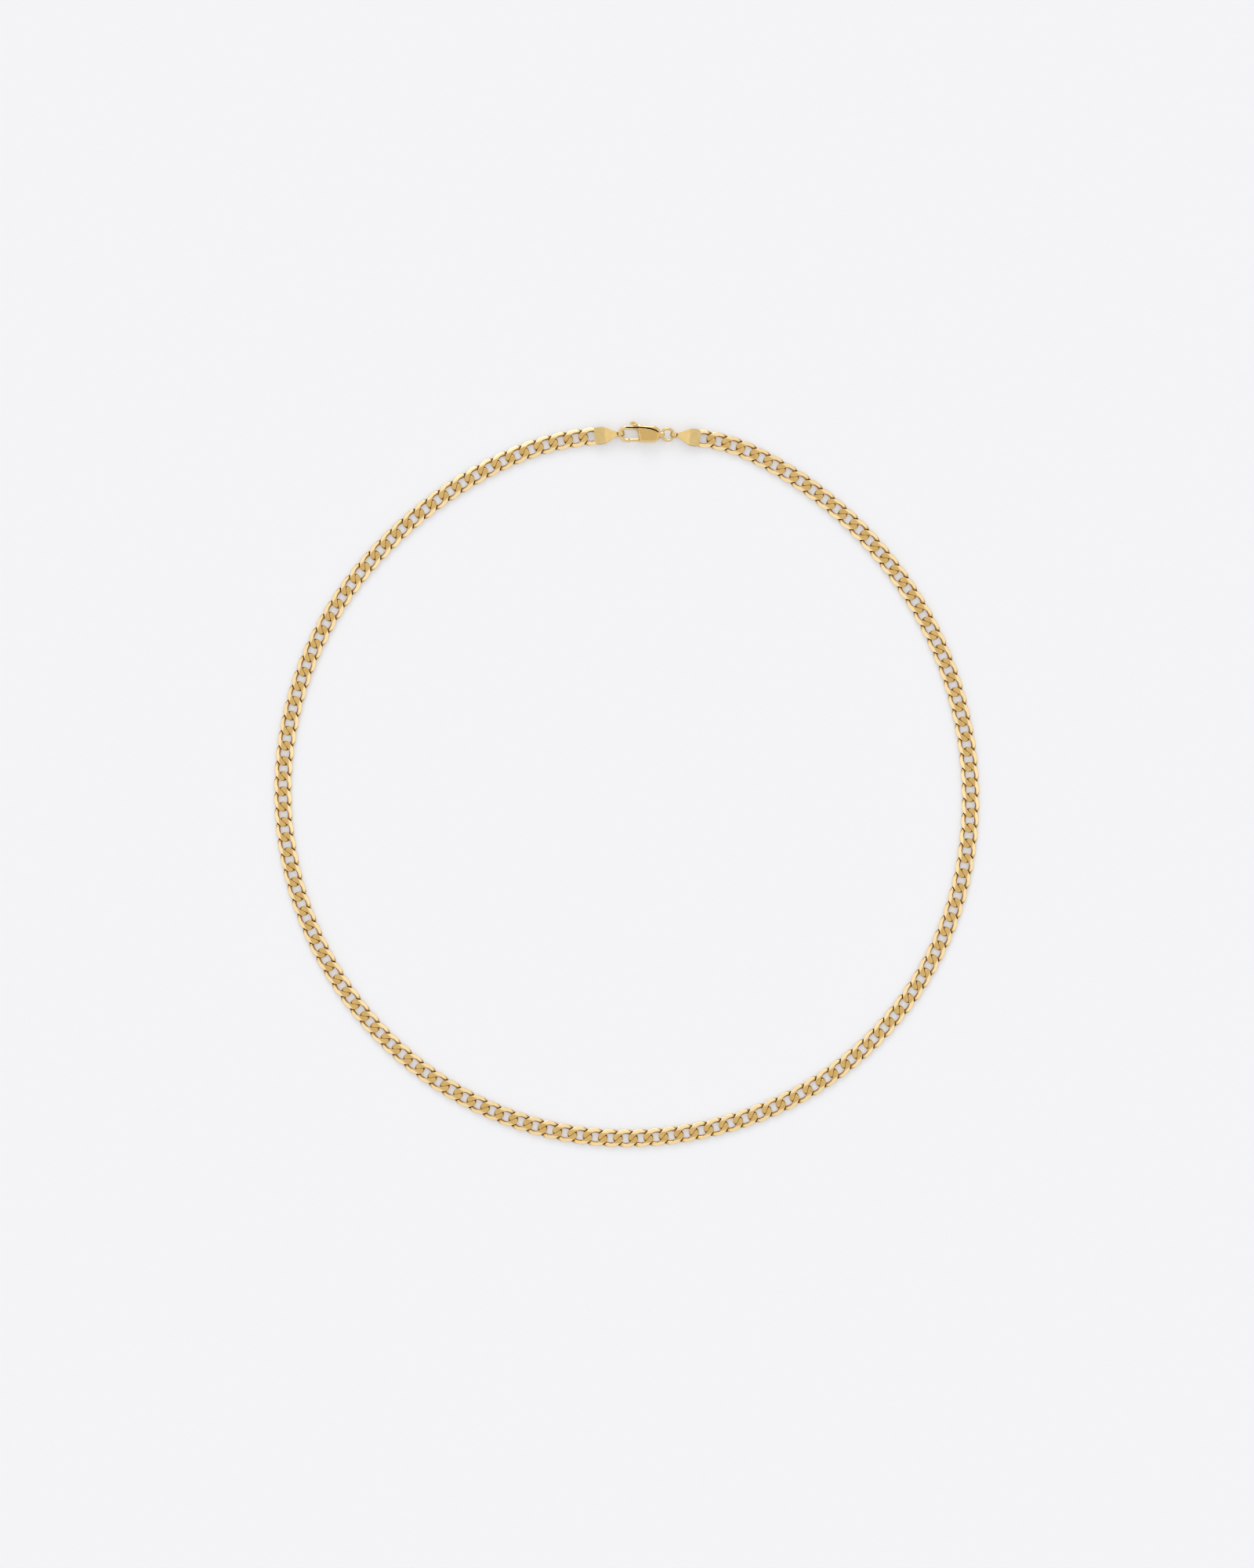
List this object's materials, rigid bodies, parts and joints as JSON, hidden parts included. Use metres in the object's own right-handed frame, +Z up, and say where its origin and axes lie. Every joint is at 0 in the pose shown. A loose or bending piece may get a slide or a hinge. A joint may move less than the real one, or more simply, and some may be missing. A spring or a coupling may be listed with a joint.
{
  "type": "chain necklace",
  "caption": "Flat curb-link chain necklace in yellow gold, closed by folded end tabs, a jump ring and a lobster-claw clasp with a sprung lever.",
  "frame": {"origin": "on the surface that the necklace lies on, under the middle of its outline", "axes": "+Z up from the surface, through the chain's thickness; the clasp is at +Y and the front of the chain at -Y; the jump ring is to the +X side of the clasp"},
  "size_m": [0.1618, 0.1666, 0.0024],
  "materials": {
    "chain_gold": "14 ct yellow gold, diamond-cut flats with bright bevels",
    "tab_gold": "14 ct yellow gold strip, fine satin face",
    "clasp_gold": "14 ct yellow gold, polished with a satin face panel",
    "ring_gold": "14 ct yellow gold wire, polished",
    "spring_steel": "bright spring strip"
  },
  "bodies": {
    "front": {"front_links": "chain_gold"},
    "right_chain_01": {"right_links_01": "chain_gold"},
    "right_chain_02": {"right_links_02": "chain_gold"},
    "right_chain_03": {"right_links_03": "chain_gold"},
    "right_chain_04": {"right_links_04": "chain_gold"},
    "right_chain_05": {"right_links_05": "chain_gold"},
    "right_chain_06": {"right_links_06": "chain_gold"},
    "right_chain_07": {"right_links_07": "chain_gold"},
    "right_chain_08": {"right_links_08": "chain_gold"},
    "right_chain_09": {"right_links_09": "chain_gold"},
    "right_chain_10": {"right_links_10": "chain_gold"},
    "right_chain_11": {"right_links_11": "chain_gold"},
    "right_chain_12": {"right_links_12": "chain_gold"},
    "right_chain_13": {"right_links_13": "chain_gold"},
    "right_chain_14": {"right_links_14": "chain_gold"},
    "right_chain_15": {"right_links_15": "chain_gold"},
    "right_chain_16": {"right_links_16": "chain_gold"},
    "right_chain_17": {"right_links_17": "chain_gold"},
    "right_chain_18": {"right_links_18": "chain_gold"},
    "right_chain_19": {"right_links_19": "chain_gold"},
    "right_chain_20": {"right_links_20": "chain_gold"},
    "right_chain_21": {"right_links_21": "chain_gold"},
    "right_chain_22": {"right_links_22": "chain_gold"},
    "left_chain_01": {"left_links_01": "chain_gold"},
    "left_chain_02": {"left_links_02": "chain_gold"},
    "left_chain_03": {"left_links_03": "chain_gold"},
    "left_chain_04": {"left_links_04": "chain_gold"},
    "left_chain_05": {"left_links_05": "chain_gold"},
    "left_chain_06": {"left_links_06": "chain_gold"},
    "left_chain_07": {"left_links_07": "chain_gold"},
    "left_chain_08": {"left_links_08": "chain_gold"},
    "left_chain_09": {"left_links_09": "chain_gold"},
    "left_chain_10": {"left_links_10": "chain_gold"},
    "left_chain_11": {"left_links_11": "chain_gold"},
    "left_chain_12": {"left_links_12": "chain_gold"},
    "left_chain_13": {"left_links_13": "chain_gold"},
    "left_chain_14": {"left_links_14": "chain_gold"},
    "left_chain_15": {"left_links_15": "chain_gold"},
    "left_chain_16": {"left_links_16": "chain_gold"},
    "left_chain_17": {"left_links_17": "chain_gold"},
    "left_chain_18": {"left_links_18": "chain_gold"},
    "left_chain_19": {"left_links_19": "chain_gold"},
    "left_chain_20": {"left_links_20": "chain_gold"},
    "left_chain_21": {"left_links_21": "chain_gold"},
    "left_chain_22": {"left_links_22": "chain_gold"},
    "right_tab": {"right_end_link": "chain_gold", "right_end_tab": "tab_gold"},
    "left_tab": {"left_end_link": "chain_gold", "left_end_tab": "tab_gold"},
    "ring": {"jump_ring": "ring_gold"},
    "clasp": {"clasp_body": "clasp_gold", "clasp_pin": "clasp_gold", "clasp_spring": "spring_steel"},
    "lever": {"clasp_lever": "clasp_gold"}
  },
  "joints": [
    {"name": "right_fold_01", "type": "hinge", "parent": "front", "child": "right_chain_01", "pos_m": [0.00499, -0.08113, 0.00052], "axis": [1, -0.0016, 0], "range_deg": [-12, 12]},
    {"name": "left_fold_01", "type": "hinge", "parent": "front", "child": "left_chain_01", "pos_m": [-0.0055, -0.08111, 0.00052], "axis": [1, -0.0016, 0], "range_deg": [-12, 12]},
    {"name": "right_fold_02", "type": "hinge", "parent": "right_chain_01", "child": "right_chain_02", "pos_m": [0.0154, -0.07983, 0.00052], "axis": [1, -0.0045, 0], "range_deg": [-12, 12]},
    {"name": "left_fold_02", "type": "hinge", "parent": "left_chain_01", "child": "left_chain_02", "pos_m": [-0.0159, -0.07969, 0.00052], "axis": [1, -0.0045, 0], "range_deg": [-12, 12]},
    {"name": "right_fold_03", "type": "hinge", "parent": "right_chain_02", "child": "right_chain_03", "pos_m": [0.02556, -0.07724, 0.00052], "axis": [1, -0.0073, 0], "range_deg": [-12, 12]},
    {"name": "left_fold_03", "type": "hinge", "parent": "left_chain_02", "child": "left_chain_03", "pos_m": [-0.026, -0.07687, 0.00052], "axis": [1, -0.0073, 0], "range_deg": [-12, 12]},
    {"name": "right_fold_04", "type": "hinge", "parent": "right_chain_03", "child": "right_chain_04", "pos_m": [0.03533, -0.07341, 0.00052], "axis": [0.9999, -0.0101, 0], "range_deg": [-12, 12]},
    {"name": "left_fold_04", "type": "hinge", "parent": "left_chain_03", "child": "left_chain_04", "pos_m": [-0.03563, -0.0727, 0.00052], "axis": [0.9999, -0.0101, 0], "range_deg": [-12, 12]},
    {"name": "right_fold_05", "type": "hinge", "parent": "right_chain_04", "child": "right_chain_05", "pos_m": [0.0445, -0.06832, 0.00052], "axis": [0.9999, -0.0115, 0], "range_deg": [-12, 12]},
    {"name": "left_fold_05", "type": "hinge", "parent": "left_chain_04", "child": "left_chain_05", "pos_m": [-0.04461, -0.06729, 0.00052], "axis": [0.9999, -0.0115, 0], "range_deg": [-12, 12]},
    {"name": "right_fold_06", "type": "hinge", "parent": "right_chain_05", "child": "right_chain_06", "pos_m": [0.05287, -0.062, 0.00052], "axis": [0.9999, -0.0118, 0], "range_deg": [-12, 12]},
    {"name": "left_fold_06", "type": "hinge", "parent": "left_chain_05", "child": "left_chain_06", "pos_m": [-0.05282, -0.06075, 0.00052], "axis": [0.9999, -0.0118, 0], "range_deg": [-12, 12]},
    {"name": "right_fold_07", "type": "hinge", "parent": "right_chain_06", "child": "right_chain_07", "pos_m": [0.06028, -0.05457, 0.00052], "axis": [0.9999, -0.0114, 0], "range_deg": [-12, 12]},
    {"name": "left_fold_07", "type": "hinge", "parent": "left_chain_06", "child": "left_chain_07", "pos_m": [-0.06009, -0.0532, 0.00052], "axis": [0.9999, -0.0114, 0], "range_deg": [-12, 12]},
    {"name": "right_fold_08", "type": "hinge", "parent": "right_chain_07", "child": "right_chain_08", "pos_m": [0.06659, -0.0462, 0.00052], "axis": [0.9999, -0.0109, 0], "range_deg": [-12, 12]},
    {"name": "left_fold_08", "type": "hinge", "parent": "left_chain_07", "child": "left_chain_08", "pos_m": [-0.06631, -0.04475, 0.00052], "axis": [0.9999, -0.0109, 0], "range_deg": [-12, 12]},
    {"name": "right_fold_09", "type": "hinge", "parent": "right_chain_08", "child": "right_chain_09", "pos_m": [0.07167, -0.03702, 0.00052], "axis": [0.9999, -0.0102, 0], "range_deg": [-12, 12]},
    {"name": "left_fold_09", "type": "hinge", "parent": "left_chain_08", "child": "left_chain_09", "pos_m": [-0.07138, -0.03556, 0.00052], "axis": [0.9999, -0.0102, 0], "range_deg": [-12, 12]},
    {"name": "right_fold_10", "type": "hinge", "parent": "right_chain_09", "child": "right_chain_10", "pos_m": [0.07544, -0.02723, 0.00052], "axis": [1, -0.0096, 0], "range_deg": [-12, 12]},
    {"name": "left_fold_10", "type": "hinge", "parent": "left_chain_09", "child": "left_chain_10", "pos_m": [-0.07519, -0.02579, 0.00052], "axis": [1, -0.0096, 0], "range_deg": [-12, 12]},
    {"name": "right_fold_11", "type": "hinge", "parent": "right_chain_10", "child": "right_chain_11", "pos_m": [0.07781, -0.01701, 0.00052], "axis": [1, -0.0091, 0], "range_deg": [-12, 12]},
    {"name": "left_fold_11", "type": "hinge", "parent": "left_chain_10", "child": "left_chain_11", "pos_m": [-0.07769, -0.0156, 0.00052], "axis": [1, -0.0091, 0], "range_deg": [-12, 12]},
    {"name": "right_fold_12", "type": "hinge", "parent": "right_chain_11", "child": "right_chain_12", "pos_m": [0.07884, -0.00657, 0.00052], "axis": [1, -0.0089, 0], "range_deg": [-12, 12]},
    {"name": "left_fold_12", "type": "hinge", "parent": "left_chain_11", "child": "left_chain_12", "pos_m": [-0.07884, -0.00518, 0.00052], "axis": [1, -0.0089, 0], "range_deg": [-12, 12]},
    {"name": "right_fold_13", "type": "hinge", "parent": "right_chain_12", "child": "right_chain_13", "pos_m": [0.0786, 0.00391, 0.00052], "axis": [1, -0.0089, 0], "range_deg": [-12, 12]},
    {"name": "left_fold_13", "type": "hinge", "parent": "left_chain_12", "child": "left_chain_13", "pos_m": [-0.0786, 0.00531, 0.00052], "axis": [1, -0.0089, 0], "range_deg": [-12, 12]},
    {"name": "right_fold_14", "type": "hinge", "parent": "right_chain_13", "child": "right_chain_14", "pos_m": [0.0771, 0.0143, 0.00052], "axis": [1, -0.0089, 0], "range_deg": [-12, 12]},
    {"name": "left_fold_14", "type": "hinge", "parent": "left_chain_13", "child": "left_chain_14", "pos_m": [-0.07699, 0.01568, 0.00052], "axis": [1, -0.0089, 0], "range_deg": [-12, 12]},
    {"name": "right_fold_15", "type": "hinge", "parent": "right_chain_14", "child": "right_chain_15", "pos_m": [0.07437, 0.02443, 0.00052], "axis": [1, -0.0088, 0], "range_deg": [-12, 12]},
    {"name": "left_fold_15", "type": "hinge", "parent": "left_chain_14", "child": "left_chain_15", "pos_m": [-0.07403, 0.02574, 0.00052], "axis": [1, -0.0088, 0], "range_deg": [-12, 12]},
    {"name": "right_fold_16", "type": "hinge", "parent": "right_chain_15", "child": "right_chain_16", "pos_m": [0.07043, 0.03415, 0.00052], "axis": [1, -0.0084, 0], "range_deg": [-12, 12]},
    {"name": "left_fold_16", "type": "hinge", "parent": "left_chain_15", "child": "left_chain_16", "pos_m": [-0.06977, 0.03533, 0.00052], "axis": [1, -0.0084, 0], "range_deg": [-12, 12]},
    {"name": "right_fold_17", "type": "hinge", "parent": "right_chain_16", "child": "right_chain_17", "pos_m": [0.06535, 0.04333, 0.00052], "axis": [1, -0.0072, 0], "range_deg": [-12, 12]},
    {"name": "left_fold_17", "type": "hinge", "parent": "left_chain_16", "child": "left_chain_17", "pos_m": [-0.06429, 0.04427, 0.00052], "axis": [1, -0.0072, 0], "range_deg": [-12, 12]},
    {"name": "right_fold_18", "type": "hinge", "parent": "right_chain_17", "child": "right_chain_18", "pos_m": [0.05921, 0.05184, 0.00052], "axis": [1, -0.0051, 0], "range_deg": [-12, 12]},
    {"name": "left_fold_18", "type": "hinge", "parent": "left_chain_17", "child": "left_chain_18", "pos_m": [-0.0577, 0.05243, 0.00052], "axis": [1, -0.0051, 0], "range_deg": [-12, 12]},
    {"name": "right_fold_19", "type": "hinge", "parent": "right_chain_18", "child": "right_chain_19", "pos_m": [0.05211, 0.05956, 0.00052], "axis": [1, -0.0021, 0], "range_deg": [-12, 12]},
    {"name": "left_fold_19", "type": "hinge", "parent": "left_chain_18", "child": "left_chain_19", "pos_m": [-0.0502, 0.05977, 0.00052], "axis": [1, -0.0021, 0], "range_deg": [-12, 12]},
    {"name": "right_fold_20", "type": "hinge", "parent": "right_chain_19", "child": "right_chain_20", "pos_m": [0.04415, 0.0664, 0.00052], "axis": [1, 0.002, 0], "range_deg": [-12, 12]},
    {"name": "left_fold_20", "type": "hinge", "parent": "left_chain_19", "child": "left_chain_20", "pos_m": [-0.04193, 0.06623, 0.00052], "axis": [1, 0.002, 0], "range_deg": [-12, 12]},
    {"name": "right_fold_21", "type": "hinge", "parent": "right_chain_20", "child": "right_chain_21", "pos_m": [0.03546, 0.07227, 0.00052], "axis": [1, 0.0079, 0], "range_deg": [-12, 12]},
    {"name": "left_fold_21", "type": "hinge", "parent": "left_chain_20", "child": "left_chain_21", "pos_m": [-0.03299, 0.07173, 0.00052], "axis": [1, 0.0079, 0], "range_deg": [-12, 12]},
    {"name": "right_fold_22", "type": "hinge", "parent": "right_chain_21", "child": "right_chain_22", "pos_m": [0.0261, 0.077, 0.00056], "axis": [0.9999, 0.0169, 0.0003], "range_deg": [-12, 9]},
    {"name": "left_fold_22", "type": "hinge", "parent": "left_chain_21", "child": "left_chain_22", "pos_m": [-0.02349, 0.07616, 0.00054], "axis": [0.9999, 0.0169, 0.0003], "range_deg": [-12, 9]},
    {"name": "right_tab_roll", "type": "hinge", "parent": "right_chain_22", "child": "right_tab", "pos_m": [0.01938, 0.0789, 0.0007], "axis": [-0.9974, 0.0683, 0.0238], "range_deg": [-8, 8]},
    {"name": "left_tab_roll", "type": "hinge", "parent": "left_chain_22", "child": "left_tab", "pos_m": [-0.00994, 0.07951, 0.00072], "axis": [0.9939, 0.0946, 0.0562], "range_deg": [-10, 10]},
    {"name": "ring_roll", "type": "hinge", "parent": "right_tab", "child": "ring", "pos_m": [0.01072, 0.08011, 0.0012], "axis": [0.9998, -0.0174, 0], "range_deg": [-20, 20]},
    {"name": "clasp_roll", "type": "hinge", "parent": "right_tab", "child": "clasp", "pos_m": [-0.0014, 0.08032, 0.0012], "axis": [0.9998, -0.0174, 0], "range_deg": [-10, 10]},
    {"name": "lever_swing", "type": "hinge", "parent": "clasp", "child": "lever", "pos_m": [0.00379, 0.07938, 0.0012], "axis": [0, 0, -1], "range_deg": [0, 24], "stiffness_Nm_per_rad": 0.006, "springref_deg": -9.74, "deforming": ["clasp_spring"]}
  ],
  "couplings": [
    {"joint": "left_fold_01", "follows": "right_fold_01", "ratio": 1},
    {"joint": "left_fold_02", "follows": "right_fold_02", "ratio": 1},
    {"joint": "left_fold_03", "follows": "right_fold_03", "ratio": 1},
    {"joint": "left_fold_04", "follows": "right_fold_04", "ratio": 1},
    {"joint": "left_fold_05", "follows": "right_fold_05", "ratio": 1},
    {"joint": "left_fold_06", "follows": "right_fold_06", "ratio": 1},
    {"joint": "left_fold_07", "follows": "right_fold_07", "ratio": 1},
    {"joint": "left_fold_08", "follows": "right_fold_08", "ratio": 1},
    {"joint": "left_fold_09", "follows": "right_fold_09", "ratio": 1},
    {"joint": "left_fold_10", "follows": "right_fold_10", "ratio": 1},
    {"joint": "left_fold_11", "follows": "right_fold_11", "ratio": 1},
    {"joint": "left_fold_12", "follows": "right_fold_12", "ratio": 1},
    {"joint": "left_fold_13", "follows": "right_fold_13", "ratio": 1},
    {"joint": "left_fold_14", "follows": "right_fold_14", "ratio": 1},
    {"joint": "left_fold_15", "follows": "right_fold_15", "ratio": 1},
    {"joint": "left_fold_16", "follows": "right_fold_16", "ratio": 1},
    {"joint": "left_fold_17", "follows": "right_fold_17", "ratio": 1},
    {"joint": "left_fold_18", "follows": "right_fold_18", "ratio": 1},
    {"joint": "left_fold_19", "follows": "right_fold_19", "ratio": 1},
    {"joint": "left_fold_20", "follows": "right_fold_20", "ratio": 1},
    {"joint": "left_fold_21", "follows": "right_fold_21", "ratio": 1},
    {"joint": "left_fold_22", "follows": "right_fold_22", "ratio": 1}
  ]
}
